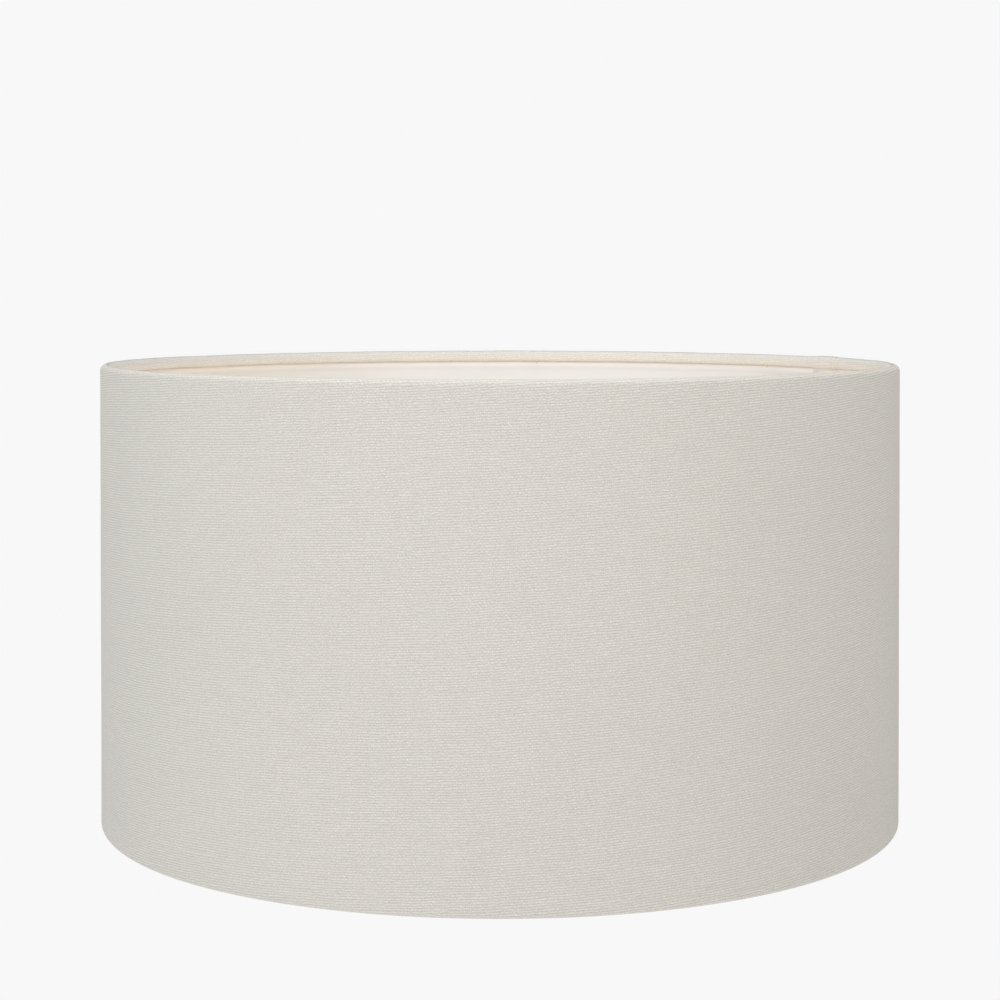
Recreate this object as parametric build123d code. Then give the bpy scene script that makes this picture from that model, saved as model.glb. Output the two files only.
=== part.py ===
"""Lined drum lamp shade: cloth on a stiff panel, rolled over two wire rings.

Millimetres, +Z up. The origin is the centre of the circle that the shade stands on.
"""
from build123d import *
from math import acos, cos, degrees, radians, sin, sqrt
import os

# Overall size, measured over the cloth.
SHADE_DIAMETER = 350.0
SHADE_HEIGHT = 200.0

# Sheet layers.
CLOTH_THICKNESS = 0.6
PANEL_THICKNESS = 0.4
SEAM_TAPE_THICKNESS = 0.1
RING_TAPE_THICKNESS = 0.2

# Wire frame.
RING_WIRE_DIAMETER = 3.5
ARM_WIRE_DIAMETER = 3.0
ARM_COUNT = 3
FIRST_ARM_ANGLE = 90.0
ARM_FOOT_LENGTH = 10.0  # level stretch of an arm beside the ring
ARM_TOP_LENGTH = 16.0  # level stretch of an arm at the fitter
ARM_BEND_RADIUS = 8.0
WELD_SINK = 0.3  # how far an arm is melted flat under the fitter ring

# Fitter: a steel ring with the standard 42 mm hole, and its loose reducer.
FITTER_RECESS = 32.0  # from the foot of the shade up to the fitter ring
FITTER_BORE = 42.0
FITTER_RIM_WIDTH = 7.0
FITTER_THICKNESS = 2.0
FITTER_EDGE_RADIUS = 0.5
REDUCER_BORE = 29.0
REDUCER_FLANGE_OVERHANG = 4.0  # how far the flange covers the fitter ring
REDUCER_FLANGE_THICKNESS = 1.8
REDUCER_SPIGOT_LENGTH = 5.0  # below the flange
REDUCER_EDGE_BREAK = 0.4
REDUCER_RADIAL_CLEARANCE = 0.3
REDUCER_SEAT_GAP = 0.05

# Vertical seam: the outer end is folded in and laps over the start of the wrap. Seen from
# above, the wrap runs clockwise from the seam angle.
SEAM_ANGLE = 26.5
LAP_WIDTH = 12.0
FOLD_WIDTH = 9.0
JOGGLE_RADIUS = 15.0  # bend where the outer end steps out over the start
SEAM_CLEARANCE = 0.3

# Hem clearances.
PANEL_EDGE_CLEARANCE = 0.1
TUCK_CLEARANCE = 0.15
ARM_NOTCH_CLEARANCE = 0.3

# Worked out from the sizes above.
OUTER_RADIUS = SHADE_DIAMETER / 2
CLOTH_RADIUS = OUTER_RADIUS - CLOTH_THICKNESS / 2
PANEL_OFFSET = (CLOTH_THICKNESS + PANEL_THICKNESS) / 2
RING_WIRE_RADIUS = RING_WIRE_DIAMETER / 2
TAPED_WIRE_RADIUS = RING_WIRE_RADIUS + RING_TAPE_THICKNESS
HEM_RADIUS = TAPED_WIRE_RADIUS + CLOTH_THICKNESS
RING_RADIUS = OUTER_RADIUS - HEM_RADIUS
RING_HEIGHTS = {"top": SHADE_HEIGHT - HEM_RADIUS, "bottom": HEM_RADIUS}
PANEL_EDGE_DROP = PANEL_EDGE_CLEARANCE + sqrt(
    TAPED_WIRE_RADIUS**2 - (TAPED_WIRE_RADIUS - PANEL_THICKNESS) ** 2
)
ARM_WIRE_RADIUS = ARM_WIRE_DIAMETER / 2
FITTER_BORE_RADIUS = FITTER_BORE / 2
FITTER_RADIUS = FITTER_BORE_RADIUS + FITTER_RIM_WIDTH
ARM_TOP_HEIGHT = FITTER_RECESS + WELD_SINK - ARM_WIRE_RADIUS
STANDING = (Align.CENTER, Align.CENTER, Align.MIN)  # a solid that stands on its own origin

# Layers of the lap, from the start of the cloth outwards.
TAIL_RADIUS = OUTER_RADIUS + SEAM_TAPE_THICKNESS + CLOTH_THICKNESS / 2
LAP_RISE = 2 * SEAM_TAPE_THICKNESS + PANEL_THICKNESS + 2 * CLOTH_THICKNESS
LAP_RADIUS = CLOTH_RADIUS + LAP_RISE
LAP_ANGLE = degrees(LAP_WIDTH / OUTER_RADIUS)
FOLD_ANGLE = degrees(FOLD_WIDTH / OUTER_RADIUS)
CLEARANCE_ANGLE = degrees(SEAM_CLEARANCE / OUTER_RADIUS)


def polar(radius, angle):
    """Point of the plan at this radius and angle in degrees."""
    return Vector(radius * cos(radians(angle)), radius * sin(radians(angle)))


def band(centre, radius, thickness, start, sweep):
    """Flat strip of even thickness, bent round centre."""
    outer = CenterArc(centre, radius + thickness / 2, start, sweep)
    inner = CenterArc(centre, radius - thickness / 2, start, sweep)
    return make_face([outer, inner, Line(outer @ 0, inner @ 0), Line(outer @ 1, inner @ 1)])


def joggle():
    """Two bends that carry the cloth from the wall out to the lap.

    Each centre is on a radius of the shade: the first bend's outside the wall, the second's
    inside the lap. The bends meet halfway between the centres, so those and the shade's
    centre make a triangle with sides first, second and twice the bend radius.
    """
    first = CLOTH_RADIUS + JOGGLE_RADIUS
    second = LAP_RADIUS - JOGGLE_RADIUS
    between = 2 * JOGGLE_RADIUS
    span = degrees(acos((first**2 + second**2 - between**2) / (2 * first * second)))
    turn = degrees(acos((first**2 + between**2 - second**2) / (2 * first * between)))
    start = 360 - CLEARANCE_ANGLE - span
    return first, second, span, turn, start


def wrap(offset, thickness):
    """Plan of one layer, this far inside the cloth: wall, joggle and lap."""
    first, second, span, turn, start = joggle()
    wall = band((0, 0), CLOTH_RADIUS - offset, thickness, 0, start)
    out = band(polar(first, start), JOGGLE_RADIUS + offset, thickness, start + 180, -turn)
    back = band(polar(second, start + span), JOGGLE_RADIUS - offset, thickness, start - turn, span + turn)
    lap = band((0, 0), LAP_RADIUS - offset, thickness, -CLEARANCE_ANGLE, CLEARANCE_ANGLE + LAP_ANGLE)
    return wall + out + back + lap


def tail(radius, thickness):
    """Plan of a layer as wide as the folded-in end of the cloth."""
    return band((0, 0), radius, thickness, LAP_ANGLE - FOLD_ANGLE, FOLD_ANGLE)


def fold():
    """Plan of the outer end of the cloth, folded in round the panel's end."""
    turn_centre = polar((LAP_RADIUS + TAIL_RADIUS) / 2, LAP_ANGLE)
    turn = band(turn_centre, (LAP_RADIUS - TAIL_RADIUS) / 2, CLOTH_THICKNESS, LAP_ANGLE, 180)
    return turn + tail(TAIL_RADIUS, CLOTH_THICKNESS)


def raise_wall(plan, low, high):
    """Stand a plan up between two heights, running clockwise from the seam."""
    clockwise = mirror(plan, about=Plane.XZ)
    return Rot(Z=SEAM_ANGLE) * Pos(Z=low) * extrude(clockwise, amount=high - low, dir=(0, 0, 1))


def hem(side):
    """Long edge of the cloth: over the taped ring and tucked in behind it."""
    reach = HEM_RADIUS - CLOTH_THICKNESS - PANEL_THICKNESS - TUCK_CLEARANCE
    wrap_angle = 360 - degrees(acos(reach / HEM_RADIUS))
    centre = (RING_RADIUS, RING_HEIGHTS[side])
    upward = 1 if side == "top" else -1
    roll = band(centre, HEM_RADIUS - CLOTH_THICKNESS / 2, CLOTH_THICKNESS, 0, upward * wrap_angle)
    return revolve(Plane.XZ * roll, Axis.Z)


def arm_path():
    """Centreline of an arm along +X, from the bottom ring in to the fitter ring."""
    foot = RING_RADIUS - ARM_FOOT_LENGTH
    end = FITTER_BORE_RADIUS + ARM_WIRE_RADIUS
    low = RING_HEIGHTS["bottom"]
    points = [(RING_RADIUS, 0, low), (foot, 0, low)]
    points += [(end + ARM_TOP_LENGTH, 0, ARM_TOP_HEIGHT), (end, 0, ARM_TOP_HEIGHT)]
    return FilletPolyline(*points, radius=ARM_BEND_RADIUS)


def arm_locations():
    """Turns about the shade's axis, one to each arm."""
    return [Rot(Z=FIRST_ARM_ANGLE + i * 360 / ARM_COUNT) for i in range(ARM_COUNT)]


def arm_notches():
    """Slots in the bottom hem, open at its raw edge, that let the arms through."""
    radius = ARM_WIRE_RADIUS + ARM_NOTCH_CLEARANCE
    length = HEM_RADIUS + ARM_NOTCH_CLEARANCE
    low = RING_HEIGHTS["bottom"]
    hole = Pos(RING_RADIUS - length / 2, 0, low) * Rot(Y=90) * Cylinder(radius, length)
    slit = Pos(RING_RADIUS - length / 2, 0, low + length / 2) * Box(length, 2 * radius, length)
    return [turn * (hole + slit) for turn in arm_locations()]


def make_fabric_cover():
    wall = raise_wall(wrap(0, CLOTH_THICKNESS) + fold(), RING_HEIGHTS["bottom"], RING_HEIGHTS["top"])
    return wall + hem("top") + (hem("bottom") - arm_notches())


def make_panel_layer(plan):
    """A layer as tall as the panel, whose edges stop just short of the taped rings."""
    return raise_wall(plan, RING_HEIGHTS["bottom"] + PANEL_EDGE_DROP, RING_HEIGHTS["top"] - PANEL_EDGE_DROP)


def make_ring(side):
    return Pos(Z=RING_HEIGHTS[side]) * Torus(RING_RADIUS, RING_WIRE_RADIUS)


def make_ring_tape(side):
    return Pos(Z=RING_HEIGHTS[side]) * Torus(RING_RADIUS, TAPED_WIRE_RADIUS) - make_ring(side)


def make_fitter_ring():
    ring = Cylinder(FITTER_RADIUS, FITTER_THICKNESS) - Cylinder(FITTER_BORE_RADIUS, FITTER_THICKNESS)
    outer_edges = ring.edges().filter_by(GeomType.CIRCLE).group_by(SortBy.RADIUS)[-1]
    return Pos(Z=FITTER_RECESS + FITTER_THICKNESS / 2) * fillet(outer_edges, FITTER_EDGE_RADIUS)


def make_arm():
    """One arm along +X, cut to the ring it butts on and flattened under the fitter ring."""
    path = arm_path()
    section = Plane(origin=path @ 0, z_dir=path % 0) * Circle(ARM_WIRE_RADIUS)
    return sweep(section, path=path) - make_ring("bottom") - make_fitter_ring()


def make_reducer_ring():
    """Loose ring: its flange rests on the fitter ring and its spigot centres it there."""
    seat = FITTER_RECESS + FITTER_THICKNESS + REDUCER_SEAT_GAP
    height = REDUCER_FLANGE_THICKNESS + REDUCER_SPIGOT_LENGTH
    flange = Cylinder(FITTER_BORE_RADIUS + REDUCER_FLANGE_OVERHANG, REDUCER_FLANGE_THICKNESS, align=STANDING)
    spigot = Cylinder(FITTER_BORE_RADIUS - REDUCER_RADIAL_CLEARANCE, height, align=STANDING)
    bore = Cylinder(REDUCER_BORE / 2, height, align=STANDING)
    low = seat - REDUCER_SPIGOT_LENGTH
    ring = Pos(Z=seat) * flange + Pos(Z=low) * spigot - Pos(Z=low) * bore
    rims = ring.edges().filter_by(GeomType.CIRCLE).group_by(Axis.Z)
    outer_rims = [rims[0].sort_by(SortBy.RADIUS)[-1], rims[-1].sort_by(SortBy.RADIUS)[-1]]
    return chamfer(outer_rims, REDUCER_EDGE_BREAK)


def make_parts():
    parts = {
        "fabric_cover": make_fabric_cover(),
        "liner_panel": make_panel_layer(wrap(PANEL_OFFSET, PANEL_THICKNESS)),
        "seam_bond_tape": make_panel_layer(
            tail(OUTER_RADIUS + SEAM_TAPE_THICKNESS / 2, SEAM_TAPE_THICKNESS)
        ),
        "hem_fold_tape": make_panel_layer(
            tail(TAIL_RADIUS + (CLOTH_THICKNESS + SEAM_TAPE_THICKNESS) / 2, SEAM_TAPE_THICKNESS)
        ),
        "top_ring": make_ring("top"),
        "bottom_ring": make_ring("bottom"),
        "top_ring_tape": make_ring_tape("top"),
        "bottom_ring_tape": make_ring_tape("bottom") - arm_notches(),
        "fitter_ring": make_fitter_ring(),
        "reducer_ring": make_reducer_ring(),
    }
    arm = make_arm()
    for number, turn in enumerate(arm_locations(), start=1):
        parts[f"spider_arm_{number}"] = turn * arm
    return parts


os.makedirs("parts", exist_ok=True)
for name, part in make_parts().items():
    export_step(part, f"parts/{name}.step")
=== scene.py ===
"""Look of the lined drum lamp shade: cloth, liner, wire fitter, loose threads and studio.

Metres, in the frame of the CAD model: +Z up, the shade stands on the origin and -Y faces the
camera. The cloth and the panel are wrapped clockwise (seen from above) from the seam.
"""
import math

import bpy
import numpy as np
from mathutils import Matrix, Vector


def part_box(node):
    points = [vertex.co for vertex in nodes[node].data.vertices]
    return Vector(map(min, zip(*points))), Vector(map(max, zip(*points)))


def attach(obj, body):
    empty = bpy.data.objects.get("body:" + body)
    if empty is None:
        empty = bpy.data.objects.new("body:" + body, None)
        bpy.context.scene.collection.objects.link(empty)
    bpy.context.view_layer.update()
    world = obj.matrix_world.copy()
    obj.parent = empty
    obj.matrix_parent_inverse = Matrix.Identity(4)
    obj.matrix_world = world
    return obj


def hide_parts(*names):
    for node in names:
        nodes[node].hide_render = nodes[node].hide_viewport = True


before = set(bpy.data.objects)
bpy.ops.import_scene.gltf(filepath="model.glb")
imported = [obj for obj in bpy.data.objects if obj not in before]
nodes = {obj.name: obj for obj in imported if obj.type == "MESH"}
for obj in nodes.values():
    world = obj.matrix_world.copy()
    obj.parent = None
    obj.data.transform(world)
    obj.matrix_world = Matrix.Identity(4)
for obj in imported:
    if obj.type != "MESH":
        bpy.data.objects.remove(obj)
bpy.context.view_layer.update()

MM = 0.001

# Sheet layers, as in the CAD model.
CLOTH_THICKNESS = 0.6 * MM
PANEL_THICKNESS = 0.4 * MM
RING_TAPE_THICKNESS = 0.2 * MM
SEAM_TAPE_THICKNESS = 0.1 * MM
ARM_ANGLES = (90, 210, 330)
ARM_WIRE_RADIUS = 1.5 * MM

# Vertical seam.
SEAM_ANGLE = math.radians(26.5)
LAP_WIDTH = 12 * MM
FOLD_WIDTH = 9 * MM
JOGGLE_WIDTH = 10.5 * MM

# Weave: a coarse plain weave whose weft runs a little uphill to the right.
WEFT_PITCH = 1.0 * MM
WARP_PITCH = 0.733 * MM
WEFT_SKEW = math.tan(math.radians(2.9))

# Base colours: the cloth; the cloth round a ring, paler as a painted highlight; and two depths of
# soaked-in adhesive, the lighter of which is also painted light on the tucked edge.
COTTON = (0.577, 0.556, 0.515)
PAINTED_HIGHLIGHT_COTTON = (0.612, 0.588, 0.540)
TAN_AND_PAINTED_LIGHT_COTTON = (0.69, 0.625, 0.545)
STAINED_COTTON = (0.70, 0.57, 0.43)

# Base colours of the other materials, each a pair that noise blends.
YARN_COLOURS = ((0.66, 0.40, 0.17), (0.84, 0.62, 0.36))
PANEL_COLOURS = ((0.705, 0.682, 0.655), (0.735, 0.716, 0.694))
# Yellower panel colour for the -X side: painted warm shade.
PAINTED_WARM_SHADE_PANEL = (0.755, 0.702, 0.634)
COAT_COLOURS = ((0.62, 0.61, 0.585), (0.70, 0.69, 0.665))
PLASTIC_COLOURS = ((0.66, 0.65, 0.615), (0.72, 0.71, 0.68))
TAPE_COLOURS = ((0.78, 0.70, 0.55), (0.86, 0.82, 0.72))

# Camera.
CAMERA_DISTANCE = 1.0152
CAMERA_HEIGHT = 0.2363
CAMERA_TILT_DOWN = math.radians(1.0)
CAMERA_LENS_MM = 82.3
CAMERA_SENSOR_MM = 36
CAMERA_SHIFT = -0.1794

# Studio. The backdrop fades out between two heights of the direction that is looked in.
BACKDROP = 0.939
BACKDROP_FADE = (0.2, 0.4)
FLOOR_REACH = 40
LIGHT_AIM_HEIGHT = 0.1
COOL = (0.97, 0.99, 1.03)
NEUTRAL = (1.0, 1.0, 1.0)
WARM = (1.02, 1.0, 0.95)
# Name, azimuth from the camera's side and elevation in degrees, distance, size, watts, colour.
SOFTBOXES = (
    ("left_high", -75, 45, 2.2, 1.2, 4.4, COOL),
    ("left", -45, 15, 2.2, 1.2, 12.6, COOL),
    ("front_right", 20, 19, 2.2, 1.2, 10.3, WARM),
    ("near_right", 30, 50, 1.1, 0.7, 1.6, NEUTRAL),
    ("overhead", 0, 88, 1.8, 1.6, 25, NEUTRAL),
)
INNER_FILL_WATTS = 0.3

ring_low, ring_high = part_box("top_ring")
foot_low, foot_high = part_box("bottom_ring")
RING_WIRE_RADIUS = (ring_high.z - ring_low.z) / 2
RING_RADIUS = ring_high.x - RING_WIRE_RADIUS
TOP_RING_Z = (ring_low.z + ring_high.z) / 2
FOOT_RING_Z = (foot_low.z + foot_high.z) / 2
ROLL_RADIUS = RING_WIRE_RADIUS + RING_TAPE_THICKNESS + CLOTH_THICKNESS / 2
WALL_RADIUS = RING_RADIUS + ROLL_RADIUS


def smooth(x):
    """0 below 0, 1 above 1, and an even ease between."""
    x = np.clip(x, 0, 1)
    return x * x * (3 - 2 * x)


def mix(a, b, share):
    """a where share is 0 and b where it is 1."""
    return a + (b - a) * share


def waves(x, seed, longest, count):
    """Smooth irregular curve of about unit height: sines that shorten from the longest wave."""
    rng = np.random.default_rng(seed)
    total = np.zeros_like(x)
    for k in range(count):
        length = longest / (1 + 0.62 * k)
        total += np.sin(2 * np.pi * x / length + rng.uniform(0, 2 * np.pi)) / (1 + 0.35 * k)
    return total / math.sqrt(count)


def smooth_object(name, points, faces):
    """Smooth-shaded mesh object, linked to the scene."""
    mesh = bpy.data.meshes.new(name)
    mesh.from_pydata(points, [], faces)
    mesh.update()
    mesh.shade_smooth()
    made = bpy.data.objects.new(name, mesh)
    bpy.context.scene.collection.objects.link(made)
    return made


# ---------------------------------------------------------------- wrapped sheets

# Depths of the unevenness that waves() gives the wall, the top rim and the hems.
DENT_DEPTH = 0.1 * MM
RIM_SWAY = 0.16 * MM
RIM_RIPPLE = 0.07 * MM
HEM_PUCKER = 0.09 * MM
HEM_FULLNESS = 0.4 * MM

# Spacing of the columns in degrees, the least gap between two, and how many span an arm's notch.
COLUMN_STEP = 1.0
LAP_COLUMN_STEP = 0.18
START_COLUMN_STEP = 0.3
LEAST_COLUMN_STEP = 0.06
ARM_COLUMNS = 31


def wrap_angles(end):
    """Path angles of the columns from the seam, closer together at the seam and the arms."""
    whole_turn = 2 * math.pi
    lap_start = whole_turn - math.radians(4.5)
    steps = [np.arange(0, end, math.radians(COLUMN_STEP)), [end]]
    steps.append(np.arange(lap_start, end, math.radians(LAP_COLUMN_STEP)))
    steps.append(np.arange(0, math.radians(1.5), math.radians(START_COLUMN_STEP)))
    for arm in ARM_ANGLES:
        middle = (SEAM_ANGLE - math.radians(arm)) % whole_turn
        steps.append(middle + np.radians(np.linspace(-1.5, 1.5, ARM_COLUMNS)))
    angles = np.unique(np.concatenate(steps))
    keep = np.append(np.diff(angles) > math.radians(LEAST_COLUMN_STEP), True)
    return angles[keep & (angles <= end)]


def closed_sheet(name, faces, cloth):
    """Object from the two faces of a sheet, each (columns, rows, 3), closed all round.

    cloth holds each column and row's place on the flat sheet, which the materials read.
    """
    outer, inner = faces
    columns, rows = outer.shape[:2]
    index = np.arange(columns * rows).reshape(columns, rows)
    under = index + columns * rows

    def quads(a, b, c, d):
        return np.stack([a.ravel(), b.ravel(), c.ravel(), d.ravel()], axis=1)

    polygons = [
        quads(index[:-1, :-1], index[:-1, 1:], index[1:, 1:], index[1:, :-1]),
        quads(under[:-1, :-1], under[1:, :-1], under[1:, 1:], under[:-1, 1:]),
    ]
    for row, flip in ((0, False), (rows - 1, True)):
        edge = quads(index[:-1, row], index[1:, row], under[1:, row], under[:-1, row])
        polygons.append(edge[:, ::-1] if flip else edge)
    for column, flip in ((0, True), (columns - 1, False)):
        edge = quads(index[column, :-1], index[column, 1:], under[column, 1:], under[column, :-1])
        polygons.append(edge[:, ::-1] if flip else edge)
    polygons = np.concatenate(polygons)
    points = np.concatenate([outer.reshape(-1, 3), inner.reshape(-1, 3)])
    made = smooth_object(name, points.tolist(), polygons.tolist())
    place = made.data.attributes.new("cloth", "FLOAT_VECTOR", "POINT")
    flat = np.zeros((columns * rows, 3))
    flat[:, :2] = cloth.reshape(-1, 2)
    place.data.foreach_set("vector", np.concatenate([flat, flat]).ravel())
    return made


def wall_relief(angle, height):
    """Slight unevenness of the panel and the cloth on it: shallow dents a hand wide."""
    along = angle * WALL_RADIUS
    dents = waves(along + 0.4 * height, 3, 0.19, 5) * waves(height + 0.2 * along, 4, 0.23, 3)
    return DENT_DEPTH * dents


def rim_wave(angle):
    """How far the top rim rises and falls: the ring is not quite flat, the cloth is not even."""
    along = angle * WALL_RADIUS
    return RIM_SWAY * waves(along, 11, 0.55, 4) + RIM_RIPPLE * waves(along, 12, 0.07, 6)


def on_wall(roll):
    """1 on the wall, easing to 0 round the rings, where the wire holds the cloth's shape."""
    return 1 - smooth(np.abs(roll) / math.radians(60))


def hem_relief(along, roll):
    """The tucked side of a hem: puckered, and a little fuller than the wire inside it."""
    inside = smooth((np.abs(roll) - math.radians(110)) / math.radians(50))
    full = np.sin(np.clip((np.abs(roll) - math.radians(180)) / math.radians(115), 0, 1) * math.pi)
    return HEM_PUCKER * waves(along, 21, 0.034, 7) * inside + HEM_FULLNESS * full


def place_points(path_angle, radius, height):
    """World points of a sheet wrapped clockwise from the seam."""
    angle = SEAM_ANGLE - path_angle
    return np.stack([radius * np.cos(angle), radius * np.sin(angle), height], axis=-1)


def lap_step(path_angle):
    """0 on the wall and 1 on the lap, where the outer end has stepped out over the start."""
    width = JOGGLE_WIDTH / WALL_RADIUS
    return smooth((path_angle - (2 * math.pi - width)) / width)


# ---------------------------------------------------------------- cover

# How far the cloth goes round each ring, and where it is cut back to let an arm through.
ROLL_END = math.radians(303)
NOTCH_ROLL_END = math.radians(118)
NOTCH_CLEARANCE = 0.3 * MM
NOTCH_EASE = 0.9 * MM
ROLL_ROWS = 20
WALL_ROWS = 44
FOLD_COLUMNS = 8
TAIL_COLUMNS = 6
CLOTH_LENGTH = TOP_RING_Z - FOOT_RING_Z + 2 * ROLL_END * ROLL_RADIUS

# How far the lap and its folded-in tail stand out: on the wall, over the rim and inside the hem.
WALL_LAP_RISE = 2 * CLOTH_THICKNESS + PANEL_THICKNESS + 2 * SEAM_TAPE_THICKNESS
WALL_TAIL_RISE = CLOTH_THICKNESS + SEAM_TAPE_THICKNESS
RIM_LAP_RISE = 0.35 * MM
HEM_LAP_RISE = 0.35 * MM
RIM_TAIL_RISE = -0.1 * MM
HEM_TAIL_RISE = 0.1 * MM
RIM_FOLD_WIDTH = 0.8 * MM  # the folded-in end is trimmed round the rings
RIM_WAVE_FADE = 50 * MM  # how far down the wall the rim's rise and fall dies out


def notch(path_angle):
    """1 where the foot's hem is whole, 0 where it is slit round an arm."""
    whole = np.ones_like(path_angle)
    for arm in ARM_ANGLES:
        middle = SEAM_ANGLE - math.radians(arm)
        away = np.abs((path_angle - middle + math.pi) % (2 * math.pi) - math.pi) * RING_RADIUS
        whole = np.minimum(whole, smooth((away - ARM_WIRE_RADIUS - NOTCH_CLEARANCE) / NOTCH_EASE))
    return whole


def cover_rows(path_angle):
    """Roll angle, ring height and running length of each row, for each column.

    Rows run from the edge tucked in at the top, over the rim and down to the foot's edge.
    """
    columns = len(path_angle)
    top = np.tile(np.linspace(ROLL_END, 0, ROLL_ROWS), (columns, 1))
    end = mix(NOTCH_ROLL_END, ROLL_END, notch(path_angle))
    foot = -np.linspace(0, 1, ROLL_ROWS) * end[:, None]
    wall = np.zeros((columns, WALL_ROWS))
    roll = np.concatenate([top, wall, foot], axis=1)
    drop = np.linspace(TOP_RING_Z, FOOT_RING_Z, WALL_ROWS + 2)[1:-1]
    heights = np.concatenate([[TOP_RING_Z] * ROLL_ROWS, drop, [FOOT_RING_Z] * ROLL_ROWS])
    centre = np.tile(heights, (columns, 1))
    step = np.abs(np.diff(roll, axis=1)) * ROLL_RADIUS + np.abs(np.diff(centre, axis=1))
    length = np.concatenate([np.zeros((columns, 1)), np.cumsum(step, axis=1)], axis=1)
    return roll, centre, length


def cover_rise(roll, wall_rise, rim_rise, hem_rise):
    """How far a layer of the lap stands out: on the wall, over the rim, and inside the hem.

    Round the foot it is pressed flat, because the shade stands there.
    """
    over = smooth(np.abs(roll) / math.radians(75))
    inside = smooth((np.abs(roll) - math.radians(95)) / math.radians(60))
    rim = np.where(roll < 0, min(rim_rise, 0), rim_rise)
    return mix(mix(wall_rise, rim, over), hem_rise, inside)


def cover_columns():
    """Path angle, lap step, fold turn and distance back under the lap of each column."""
    end = 2 * math.pi + LAP_WIDTH / WALL_RADIUS
    main = wrap_angles(end)
    turns = np.linspace(0, math.pi, FOLD_COLUMNS + 1)[1:]
    back = np.linspace(0, 1, TAIL_COLUMNS + 1)[1:]
    path = np.concatenate([main, np.full(len(turns) + len(back), end)])
    step = lap_step(path)
    turn = np.concatenate([np.zeros(len(main)), turns, np.full(len(back), math.pi)])
    tail = np.concatenate([np.zeros(len(main) + len(turns)), back])
    return path, step, turn, tail


def make_cover():
    """The cloth: one sheet rolled over both rings, its outer end folded in at the lap."""
    path, step, turn, tail = cover_columns()
    roll, centre, length = cover_rows(path)
    step, turn, tail = step[:, None], turn[:, None], tail[:, None]
    high = cover_rise(roll, WALL_LAP_RISE, RIM_LAP_RISE, HEM_LAP_RISE)
    low = cover_rise(roll, WALL_TAIL_RISE, RIM_TAIL_RISE, HEM_TAIL_RISE)
    folded = turn > 0
    middle = np.where(folded, (high + low) / 2, high * step)
    half = np.where(folded, (high - low) / 2, 0)
    along = path[:, None] * WALL_RADIUS
    relief = hem_relief(along, roll) + wall_relief(path[:, None], centre) * on_wall(roll)
    near_top = smooth((centre - TOP_RING_Z + RIM_WAVE_FADE) / RIM_WAVE_FADE)
    tuck = cover_rise(roll, FOLD_WIDTH, RIM_FOLD_WIDTH, RIM_FOLD_WIDTH)
    faces = []
    for side in (0.5, -0.5):
        reach = half + side * CLOTH_THICKNESS
        out = ROLL_RADIUS + middle + relief + reach * np.cos(turn)
        angle = path[:, None] + (reach * np.sin(turn) - tail * tuck) / WALL_RADIUS
        radius = RING_RADIUS + out * np.cos(roll)
        height = centre + out * np.sin(roll) + rim_wave(path[:, None]) * near_top
        faces.append(place_points(angle, radius, height))
    run = along + turn * half + tail * tuck
    return closed_sheet("fabric_cover_cloth", faces, np.stack([run, length], axis=-1))


# ---------------------------------------------------------------- liner

LINER_ROWS = 30
LINER_OVERRUN = 9.5 * MM  # how far the panel's first end runs on before the seam


def make_liner():
    """The panel behind the cloth. At the seam its first end lies inside its lapped end."""
    low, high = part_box("liner_panel")
    path = wrap_angles(2 * math.pi + LAP_WIDTH / WALL_RADIUS)
    path = np.append(-LINER_OVERRUN / WALL_RADIUS, path)
    heights = np.linspace(low.z, high.z, LINER_ROWS)
    path, height = np.meshgrid(path, heights, indexing="ij")
    middle = WALL_RADIUS - (CLOTH_THICKNESS + PANEL_THICKNESS) / 2
    middle = middle + lap_step(path) * WALL_LAP_RISE + wall_relief(path, height)
    middle = middle - np.where(path < 0, PANEL_THICKNESS, 0)
    faces = [place_points(path, middle + side * PANEL_THICKNESS, height) for side in (-0.5, 0.5)]
    cloth = np.stack([path * middle, high.z - height], axis=-1)
    return closed_sheet("liner_panel_sheet", faces[::-1], cloth)


# ---------------------------------------------------------------- loose yarn and welds

# The frayed ends that show: degrees round the back from its middle towards +X, then the length
# and the hang in millimetres.
FRAYED_ENDS = (
    (-8.4, 2.2, 0.3), (-5.6, 1.8, 0.2), (4.8, 5.0, 0.2), (6.6, 2.2, 2.1), (13.9, 3.0, 0.3),
    (31.5, 2.5, 0.3), (50.3, 2.6, 1.5), (52.0, 3.5, 0.2), (67.2, 2.4, 1.3),
)
MORE_FRAYED_ENDS = 26
YARN_RADIUS = 0.17 * MM
YARN_SIDES = 7
TUCKED_EDGE_ROLL = 257  # degrees round the ring, from the wall


def tube(path, radius, sides):
    """Points and faces of a round tube along a path, drawn in to a blunt end at both ends."""
    path = np.asarray(path)
    forward = np.gradient(path, axis=0)
    forward /= np.linalg.norm(forward, axis=1)[:, None]
    side = np.cross(forward, (0.13, 0.21, 0.97))
    side /= np.linalg.norm(side, axis=1)[:, None]
    up = np.cross(side, forward)
    turn = np.arange(sides) * 2 * math.pi / sides
    share = np.linspace(0, 1, len(path))
    width = radius * np.minimum(1, 0.25 + 6 * np.minimum(share, 1 - share))
    ring = side[:, None] * np.cos(turn)[None, :, None] + up[:, None] * np.sin(turn)[None, :, None]
    points = (path[:, None] + ring * width[:, None, None]).reshape(-1, 3)
    faces = []
    for row in range(len(path) - 1):
        for k in range(sides):
            a, b = row * sides + k, row * sides + (k + 1) % sides
            faces.append((a, b, b + sides, a + sides))
    faces.append(tuple(range(sides))[::-1])
    faces.append(tuple(range((len(path) - 1) * sides, len(path) * sides)))
    return points.tolist(), faces


def add_tube(points, faces, path, radius, sides):
    """Add a round tube to the points and faces of one mesh."""
    more, polygons = tube(path, radius, sides)
    faces.extend(tuple(i + len(points) for i in face) for face in polygons)
    points.extend(more)


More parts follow.
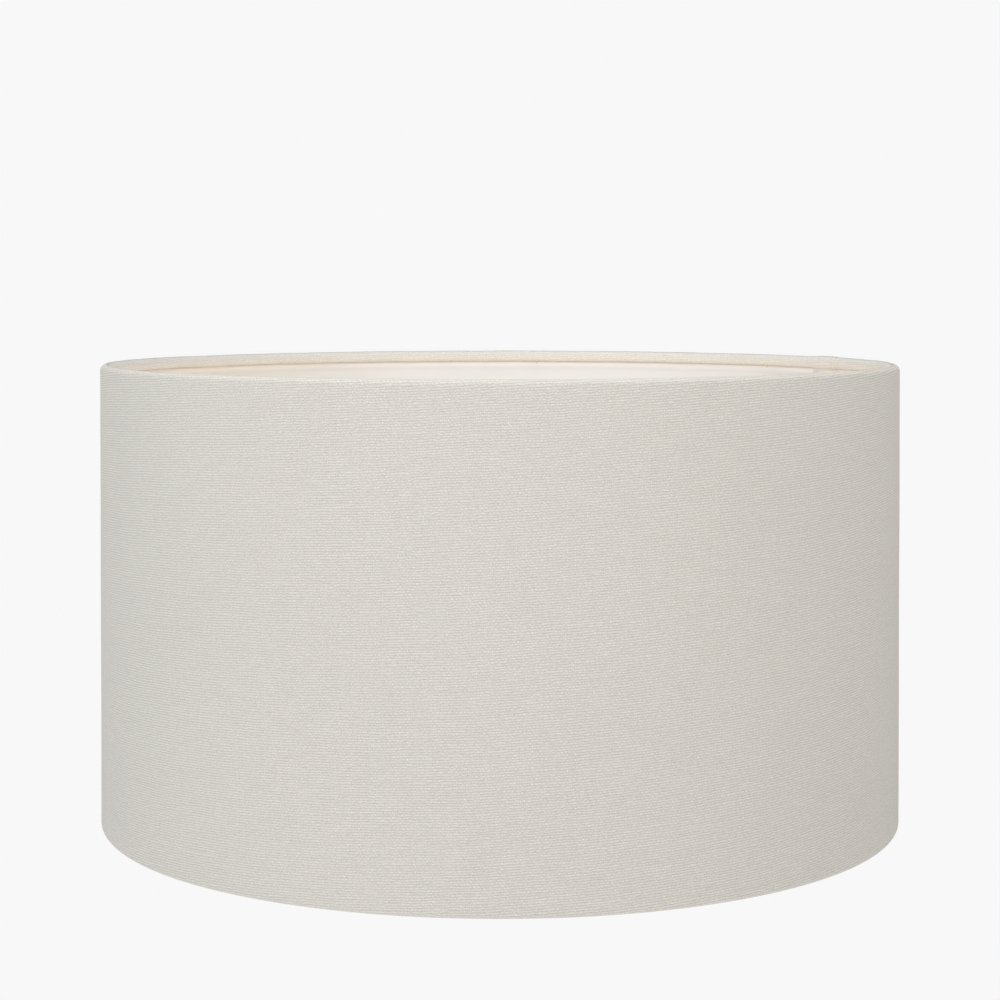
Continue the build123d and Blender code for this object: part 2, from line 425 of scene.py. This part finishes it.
def frayed_end(rng, angle, length, hang, foot):
    """Path of a yarn that has come out of the tucked edge: along it, then hanging a little."""
    share = np.linspace(0, 1, 12)
    curl = waves(share * 3, int(rng.integers(1000)), 2.2, 3)
    roll = np.radians(TUCKED_EDGE_ROLL + 5 * curl)
    reach = ROLL_RADIUS + CLOTH_THICKNESS / 2 + YARN_RADIUS * 0.6
    turn = angle + (share - 0.5) * length / RING_RADIUS
    radius = RING_RADIUS + reach * np.cos(roll) - 0.5 * hang * share**2
    lift = reach * np.sin(roll) - hang * share**3
    height = FOOT_RING_Z - lift if foot else TOP_RING_Z + lift + rim_wave(SEAM_ANGLE - turn)
    return np.stack([radius * np.cos(turn), radius * np.sin(turn), height], axis=-1)


def make_frayed_ends():
    """Short yarn ends along both tucked edges: those that show, then random ones elsewhere."""
    rng = np.random.default_rng(31)
    ends = [(math.radians(90 - a), length, hang, False) for a, length, hang in FRAYED_ENDS]
    for k in range(MORE_FRAYED_ENDS):
        turn = math.radians(rng.uniform(180, 360) if k % 2 else rng.uniform(0, 360))
        ends.append((turn, rng.uniform(1.2, 4.0), rng.uniform(0, 0.9), k % 2 == 0))
    points, faces = [], []
    for angle, length, hang, foot in ends:
        path = frayed_end(rng, angle, length * MM, hang * MM, foot)
        add_tube(points, faces, path, YARN_RADIUS, YARN_SIDES)
    return smooth_object("frayed_yarn_ends", points, faces)


# Weld beads: two along an arm's end, between two distances in from the fitter ring's outside and
# a little below it, and a collar round the arm where it leaves the foot's ring.
WELD_RADIUS = 0.45 * MM
WELD_SIDES = 10
WELD_OFFSET = 1.15 * MM
WELD_DROP = 0.35 * MM
WELD_SPAN = (5.2 * MM, 0.6 * MM)
COLLAR_RADIUS = ARM_WIRE_RADIUS + 0.1 * MM
COLLAR_INSET = RING_WIRE_RADIUS + 0.2 * MM


def weld_paths(arm):
    """Centrelines of the beads on one arm: both sides under the fitter ring, round it at the foot."""
    turn = math.radians(arm)
    out = np.array([math.cos(turn), math.sin(turn), 0])
    side = np.array([-math.sin(turn), math.cos(turn), 0])
    up = np.array([0, 0, 1])
    fitter_low, fitter_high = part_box("fitter_ring")
    share = np.linspace(0, 1, 30)[:, None]
    paths = []
    for edge in (-WELD_OFFSET, WELD_OFFSET):
        along = out * (fitter_high.x - mix(*WELD_SPAN, share))
        paths.append(along + side * edge + up * (fitter_low.z - WELD_DROP))
    around = share * 2 * math.pi
    collar = (side * np.cos(around) + up * np.sin(around)) * COLLAR_RADIUS
    paths.append(out * (RING_RADIUS - COLLAR_INSET) + up * FOOT_RING_Z + collar)
    return paths


def make_weld_beads():
    """Lumpy weld beads that join the arms to the fitter ring and to the foot's ring."""
    points, faces = [], []
    for arm in ARM_ANGLES:
        for k, path in enumerate(weld_paths(arm)):
            lumps = 1 + 0.16 * waves(np.linspace(0, 1, len(path)), arm + k, 0.4, 4)
            add_tube(points, faces, path, WELD_RADIUS * lumps, WELD_SIDES)
    return smooth_object("weld_beads", points, faces)


# ---------------------------------------------------------------- materials

# How far noise moves the yarns, in yarns.
WEFT_WANDER = 1.1
WARP_DRIFT = 0.9
WEFT_JITTER = 0.9
WARP_JITTER = -0.7

# Zones of the cloth, by distance from the nearer tucked edge. Stains, the tan with its painted light,
# the painted highlight and the glue that shows at the folded end stop between two distances; the
# painted shade line fades in, then out.
STAIN_ZONE = (2.9 * MM, 3.9 * MM)
TAN_AND_PAINTED_LIGHT_ZONE = (3.6 * MM, 5.4 * MM)
PAINTED_SHADE_LINE_ZONE = (7.2 * MM, 7.6 * MM, 8.2 * MM, 8.5 * MM)
GLUE_ZONE = (7 * MM, 8 * MM)
FLAT_WEAVE_ZONE = (7 * MM, 10 * MM)
PAINTED_HIGHLIGHT_ZONE = (10.4 * MM, 10.8 * MM)
GLUE_OFFSET = 0.8 * MM
GLUE_HALF_WIDTH = (0.3 * MM, 1.0 * MM)

# Zones of the panel: paler at its top edge as painted light against the shade under the hem, and
# yellower, as painted warm shade, most on the -X side.
PAINTED_LIGHT_EDGE = (2.5 * MM, 5.5 * MM)
WARM_SHADE_MIDDLE = math.radians(190) * WALL_RADIUS
WARM_SHADE_REACH = (math.radians(45) * WALL_RADIUS, math.radians(100) * WALL_RADIUS)


class Graph:
    """Node tree of one material, with a short call for each kind of node that it uses."""

    def __init__(self, name):
        self.material = bpy.data.materials.new(name)
        self.material.use_nodes = True
        self.tree = self.material.node_tree
        self.shader = self.tree.nodes["Principled BSDF"]

    def node(self, kind, inputs=(), **settings):
        made = self.tree.nodes.new(kind)
        for key, value in settings.items():
            setattr(made, key, value)
        for key, value in dict(inputs).items():
            self.feed(made.inputs[key], value)
        return made

    def feed(self, socket, value):
        if isinstance(value, bpy.types.NodeSocket):
            self.tree.links.new(value, socket)
        else:
            socket.default_value = value

    def math(self, operation, a, b=0.0, c=0.0):
        made = self.node("ShaderNodeMath", {0: a, 1: b, 2: c}, operation=operation)
        return made.outputs[0]

    def vector(self, x=0.0, y=0.0, z=0.0):
        return self.node("ShaderNodeCombineXYZ", {0: x, 1: y, 2: z}).outputs[0]

    def noise(self, where, scale, detail=2.0, roughness=0.5):
        inputs = {"Vector": where, "Scale": scale, "Detail": detail, "Roughness": roughness}
        return self.node("ShaderNodeTexNoise", inputs).outputs["Fac"]

    def chance(self, where):
        """A random number for each whole-number place."""
        return self.node("ShaderNodeTexWhiteNoise", {"Vector": where}).outputs["Value"]

    def scaled(self, colour, factor):
        inputs = {0: colour, "Scale": factor}
        return self.node("ShaderNodeVectorMath", inputs, operation="SCALE").outputs[0]

    def between(self, share, low, high):
        """low to high as share goes from 0 to 1."""
        inputs = {"Value": share, "To Min": low, "To Max": high}
        return self.node("ShaderNodeMapRange", inputs).outputs[0]

    def ramp(self, value, start, end, low=0.0, high=1.0):
        inputs = {"Value": value, "From Min": start, "From Max": end, "To Min": low, "To Max": high}
        return self.node("ShaderNodeMapRange", inputs, interpolation_type="SMOOTHSTEP").outputs[0]

    def blend(self, share, a, b):
        made = self.node("ShaderNodeMix", {0: share}, data_type="RGBA")
        for socket, value in ((made.inputs[6], a), (made.inputs[7], b)):
            self.feed(socket, value if isinstance(value, bpy.types.NodeSocket) else (*value, 1))
        return made.outputs[2]

    def bump(self, height, distance):
        inputs = {"Height": height, "Distance": distance, "Strength": 1.0}
        self.feed(self.shader.inputs["Normal"], self.node("ShaderNodeBump", inputs).outputs[0])

    def place(self):
        """Where a point lies on the flat sheet: along the wrap, and down from the top edge."""
        read = self.node("ShaderNodeAttribute", attribute_name="cloth")
        split = self.node("ShaderNodeSeparateXYZ", {0: read.outputs["Vector"]})
        return split.outputs[0], split.outputs[1]


def weave(g, along, down):
    """Plain weave at each point: its height, the weft yarn's body, and the crossing's number."""
    wander = g.noise(g.vector(along, down), 34)
    drift = g.noise(g.vector(along, down, 7.0), 60)
    jitter = g.noise(g.vector(along, down, 9.0), 520)
    uphill = g.math("MULTIPLY_ADD", along, -WEFT_SKEW, down)
    weft = g.math("MULTIPLY_ADD", wander, WEFT_WANDER, g.math("DIVIDE", uphill, WEFT_PITCH))
    weft = g.math("MULTIPLY_ADD", jitter, WEFT_JITTER, weft)
    warp = g.math("MULTIPLY_ADD", drift, WARP_DRIFT, g.math("DIVIDE", along, WARP_PITCH))
    warp = g.math("MULTIPLY_ADD", jitter, WARP_JITTER, warp)
    weft_number = g.math("FLOOR", weft)
    warp_number = g.math("FLOOR", warp)
    crossing = g.chance(g.vector(weft_number, warp_number))
    along_yarn = g.math("MULTIPLY", along, 90)
    weft_body = g.noise(g.vector(along_yarn, g.math("MULTIPLY", weft_number, 1.7)), 1.0)
    across = g.math("SINE", g.math("MULTIPLY", warp, math.pi))
    ridge = g.math("SINE", g.math("MULTIPLY", weft, math.pi))
    over = g.math("MULTIPLY", across, ridge)
    height = g.math("MULTIPLY", g.math("ABSOLUTE", ridge), g.between(weft_body, 0.64, 0.82))
    height = g.math("MULTIPLY_ADD", g.math("ABSOLUTE", across), 0.14, height)
    return g.math("MULTIPLY_ADD", over, 0.09, height), weft_body, crossing


def cotton_tone(g, along, down, edge):
    """Light and dark of the cloth: its weave, uneven yarn, mottling and a painted shade line at the
    hem.
    """
    height, weft_body, crossing = weave(g, along, down)
    mottle = g.noise(g.vector(along, down, 2.0), 1700, 2)
    patch = g.noise(g.vector(along, down, 5.0), 14, 3)
    swing = g.ramp(edge, *FLAT_WEAVE_ZONE, 0.45, 1)
    tone = g.math("MULTIPLY_ADD", g.between(height, -0.205, 0.205), swing, 1)
    tone = g.math("MULTIPLY", tone, g.between(weft_body, 0.98, 1.02))
    tone = g.math("MULTIPLY", tone, g.between(crossing, 0.965, 1.035))
    tone = g.math("MULTIPLY", tone, g.between(mottle, 0.74, 1.26))
    tone = g.math("MULTIPLY", tone, g.between(patch, 0.985, 1.015))
    # A darker line near the crown of each rolled hem: painted shade.
    into_painted_shade_line = g.ramp(edge, *PAINTED_SHADE_LINE_ZONE[:2])
    painted_shade_line = g.math("MULTIPLY", into_painted_shade_line, g.ramp(edge, *PAINTED_SHADE_LINE_ZONE[2:], 1, 0))
    return g.math("MULTIPLY", tone, g.math("MULTIPLY_ADD", painted_shade_line, -0.2, 1))


def cotton_material():
    """Putty cotton whose tucked edge and folded end the adhesive has turned tan, paler over the rolled
    rims as a painted highlight and paler at the tucked edge as painted light.
    """
    g = Graph("putty_cotton")
    along, down = g.place()
    edge = g.math("MINIMUM", down, g.math("SUBTRACT", CLOTH_LENGTH, down))
    tone = cotton_tone(g, along, down, edge)
    # Paler cloth over the rolled rims and hems: a painted highlight.
    base = g.blend(g.ramp(edge, *PAINTED_HIGHLIGHT_ZONE, 1, 0), COTTON, PAINTED_HIGHLIGHT_COTTON)
    # Tan, paler cloth at the tucked edge: adhesive tint and painted light inside the hem.
    base = g.blend(g.ramp(edge, *TAN_AND_PAINTED_LIGHT_ZONE, 1, 0), base, TAN_AND_PAINTED_LIGHT_COTTON)
    seep = g.math("MULTIPLY_ADD", g.noise(g.vector(along, 0.0, 6.0), 110, 3), 3.2 * MM, edge)
    base = g.blend(g.ramp(seep, *STAIN_ZONE, 1, 0), base, STAINED_COTTON)
    past_fold = g.math("ABSOLUTE", g.math("SUBTRACT", along, LAP_WIDTH + GLUE_OFFSET))
    near_fold = g.ramp(past_fold, *GLUE_HALF_WIDTH, 0.7, 0)
    glue_line = g.math("MULTIPLY", near_fold, g.ramp(edge, *GLUE_ZONE, 1, 0))
    base = g.blend(glue_line, base, STAINED_COTTON)
    g.feed(g.shader.inputs["Base Color"], g.scaled(base, tone))
    g.shader.inputs["Roughness"].default_value = 0.9
    g.shader.inputs["Specular IOR Level"].default_value = 0.2
    return g.material


def yarn_material():
    """Loose yarn stiffened with old adhesive: orange-tan, with twisted fibres."""
    g = Graph("glued_yarn")
    where = g.node("ShaderNodeTexCoord").outputs["Object"]
    fibre = g.noise(where, 2600, 2)
    g.feed(g.shader.inputs["Base Color"], g.blend(fibre, *YARN_COLOURS))
    g.shader.inputs["Roughness"].default_value = 0.8
    g.bump(fibre, 0.05 * MM)
    return g.material


def liner_material():
    """Warm-white plastic panel: almost smooth, faintly clouded, paler at its top edge as painted
    light, and yellower on the -X side as painted warm shade.
    """
    g = Graph("warm_white_panel")
    along, down = g.place()
    where = g.vector(along, down)
    cloud = g.noise(where, 22, 4, 0.6)
    grain = g.noise(where, 900, 2)
    # Yellower panel on the -X side: painted warm shade.
    from_warm_shade = g.math("ABSOLUTE", g.math("SUBTRACT", along, WARM_SHADE_MIDDLE))
    warm_shade = g.ramp(from_warm_shade, *WARM_SHADE_REACH, 1, 0)
    base = g.blend(warm_shade, g.blend(cloud, *PANEL_COLOURS), PAINTED_WARM_SHADE_PANEL)
    # Paler top edge of the panel, just under the hem: painted light against the shade there.
    g.feed(g.shader.inputs["Base Color"], g.scaled(base, g.ramp(down, *PAINTED_LIGHT_EDGE, 1.32, 1)))
    g.feed(g.shader.inputs["Roughness"], g.between(grain, 0.45, 0.6))
    g.bump(grain, 0.02 * MM)
    return g.material


def coated_wire_material():
    """White powder coat: fine orange peel and slightly duller spots."""
    g = Graph("white_powder_coat")
    where = g.node("ShaderNodeTexCoord").outputs["Object"]
    peel = g.noise(where, 1400, 3)
    dull = g.noise(where, 90, 3)
    g.feed(g.shader.inputs["Base Color"], g.blend(dull, *COAT_COLOURS))
    g.feed(g.shader.inputs["Roughness"], g.between(dull, 0.3, 0.45))
    g.bump(peel, 0.05 * MM)
    return g.material


def reducer_material():
    """Moulded white plastic with a faint satin texture."""
    g = Graph("moulded_white_plastic")
    where = g.node("ShaderNodeTexCoord").outputs["Object"]
    grain = g.noise(where, 2200, 2)
    flow = g.noise(where, 60, 3)
    g.feed(g.shader.inputs["Base Color"], g.blend(flow, *PLASTIC_COLOURS))
    g.feed(g.shader.inputs["Roughness"], g.between(grain, 0.35, 0.5))
    g.bump(grain, 0.015 * MM)
    return g.material


def tape_material():
    """Thin adhesive film, yellowish where it is thick."""
    g = Graph("adhesive_film")
    where = g.node("ShaderNodeTexCoord").outputs["Object"]
    streak = g.noise(where, 160, 3)
    g.feed(g.shader.inputs["Base Color"], g.blend(streak, *TAPE_COLOURS))
    g.shader.inputs["Roughness"].default_value = 0.35
    g.bump(streak, 0.03 * MM)
    return g.material


def dress(objects, material):
    """Give each object this material alone."""
    for item in objects:
        item.data.materials.clear()
        item.data.materials.append(material)


# ---------------------------------------------------------------- studio


def make_camera():
    data = bpy.data.cameras.new("camera")
    data.lens = CAMERA_LENS_MM
    data.sensor_width = CAMERA_SENSOR_MM
    data.shift_y = CAMERA_SHIFT
    camera = bpy.data.objects.new("camera", data)
    camera.location = (0, -CAMERA_DISTANCE, CAMERA_HEIGHT)
    camera.rotation_euler = (math.pi / 2 - CAMERA_TILT_DOWN, 0, 0)
    bpy.context.scene.collection.objects.link(camera)
    bpy.context.scene.camera = camera


def make_floor():
    """A pale floor that glows as evenly as the backdrop behind it."""
    mesh = bpy.data.meshes.new("floor")
    corners = [(x * FLOOR_REACH, y * FLOOR_REACH, 0) for x, y in ((-1, -1), (1, -1), (1, 1), (-1, 1))]
    mesh.from_pydata(corners, [], [(0, 1, 2, 3)])
    material = bpy.data.materials.new("pale_floor")
    material.use_nodes = True
    tree = material.node_tree
    tree.nodes.clear()
    glow = tree.nodes.new("ShaderNodeEmission")
    glow.inputs["Color"].default_value = (BACKDROP, BACKDROP, BACKDROP, 1)
    out = tree.nodes.new("ShaderNodeOutputMaterial")
    tree.links.new(glow.outputs[0], out.inputs["Surface"])
    mesh.materials.append(material)
    floor = bpy.data.objects.new("floor", mesh)
    bpy.context.scene.collection.objects.link(floor)


def make_world():
    """An even pale backdrop round the horizon, and a dark room above it."""
    world = bpy.data.worlds.new("studio")
    bpy.context.scene.world = world
    world.use_nodes = True
    tree = world.node_tree
    where = tree.nodes.new("ShaderNodeTexCoord")
    split = tree.nodes.new("ShaderNodeSeparateXYZ")
    tree.links.new(where.outputs["Generated"], split.inputs[0])
    fade = tree.nodes.new("ShaderNodeMapRange")
    fade.interpolation_type = "SMOOTHSTEP"
    limits = zip(("From Min", "From Max", "To Min", "To Max"), (*BACKDROP_FADE, BACKDROP, 0.0))
    for key, value in limits:
        fade.inputs[key].default_value = value
    tree.links.new(split.outputs[2], fade.inputs["Value"])
    tree.links.new(fade.outputs[0], tree.nodes["Background"].inputs["Color"])


def make_softbox(name, azimuth, elevation, distance, size, power, colour):
    """Square area light aimed at the shade's middle; azimuth 0 is the camera's side."""
    data = bpy.data.lights.new(name, "AREA")
    data.shape = "SQUARE"
    data.size = size
    data.energy = power
    data.color = colour
    lamp = bpy.data.objects.new(name, data)
    a, e = math.radians(azimuth), math.radians(elevation)
    away = np.array([math.sin(a) * math.cos(e), -math.cos(a) * math.cos(e), math.sin(e)])
    lamp.location = away * distance + np.array([0, 0, LIGHT_AIM_HEIGHT])
    lamp.rotation_euler = (math.pi / 2 - e, 0, a)
    bpy.context.scene.collection.objects.link(lamp)


def make_inner_fill(power):
    """Soft round lamp inside the shade, for the light that really enters through the cloth."""
    data = bpy.data.lights.new("inner_fill", "POINT")
    data.shadow_soft_size = RING_RADIUS / 3
    data.energy = power
    lamp = bpy.data.objects.new("inner_fill", data)
    lamp.location = (0, 0, 0.6 * TOP_RING_Z)
    lamp.visible_camera = False
    bpy.context.scene.collection.objects.link(lamp)


bpy.context.scene.view_settings.view_transform = "Standard"
make_camera()
make_world()
make_floor()
for softbox in SOFTBOXES:
    make_softbox(*softbox)
make_inner_fill(INNER_FILL_WATTS)

cover = make_cover()
dress([cover], cotton_material())
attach(cover, "shade")
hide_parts("fabric_cover")

liner = make_liner()
dress([liner], liner_material())
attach(liner, "shade")
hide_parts("liner_panel")

yarn = make_frayed_ends()
dress([yarn], yarn_material())
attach(yarn, "shade")

coated_wire = coated_wire_material()
beads = make_weld_beads()
dress([beads], coated_wire)
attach(beads, "shade")

WIRE_NODES = ("top_ring", "bottom_ring", "spider_arm_1", "spider_arm_2", "spider_arm_3", "fitter_ring")
TAPE_NODES = ("top_ring_tape", "bottom_ring_tape", "seam_bond_tape", "hem_fold_tape")
dress([nodes[name] for name in WIRE_NODES], coated_wire)
dress([nodes["reducer_ring"]], reducer_material())
dress([nodes[name] for name in TAPE_NODES], tape_material())
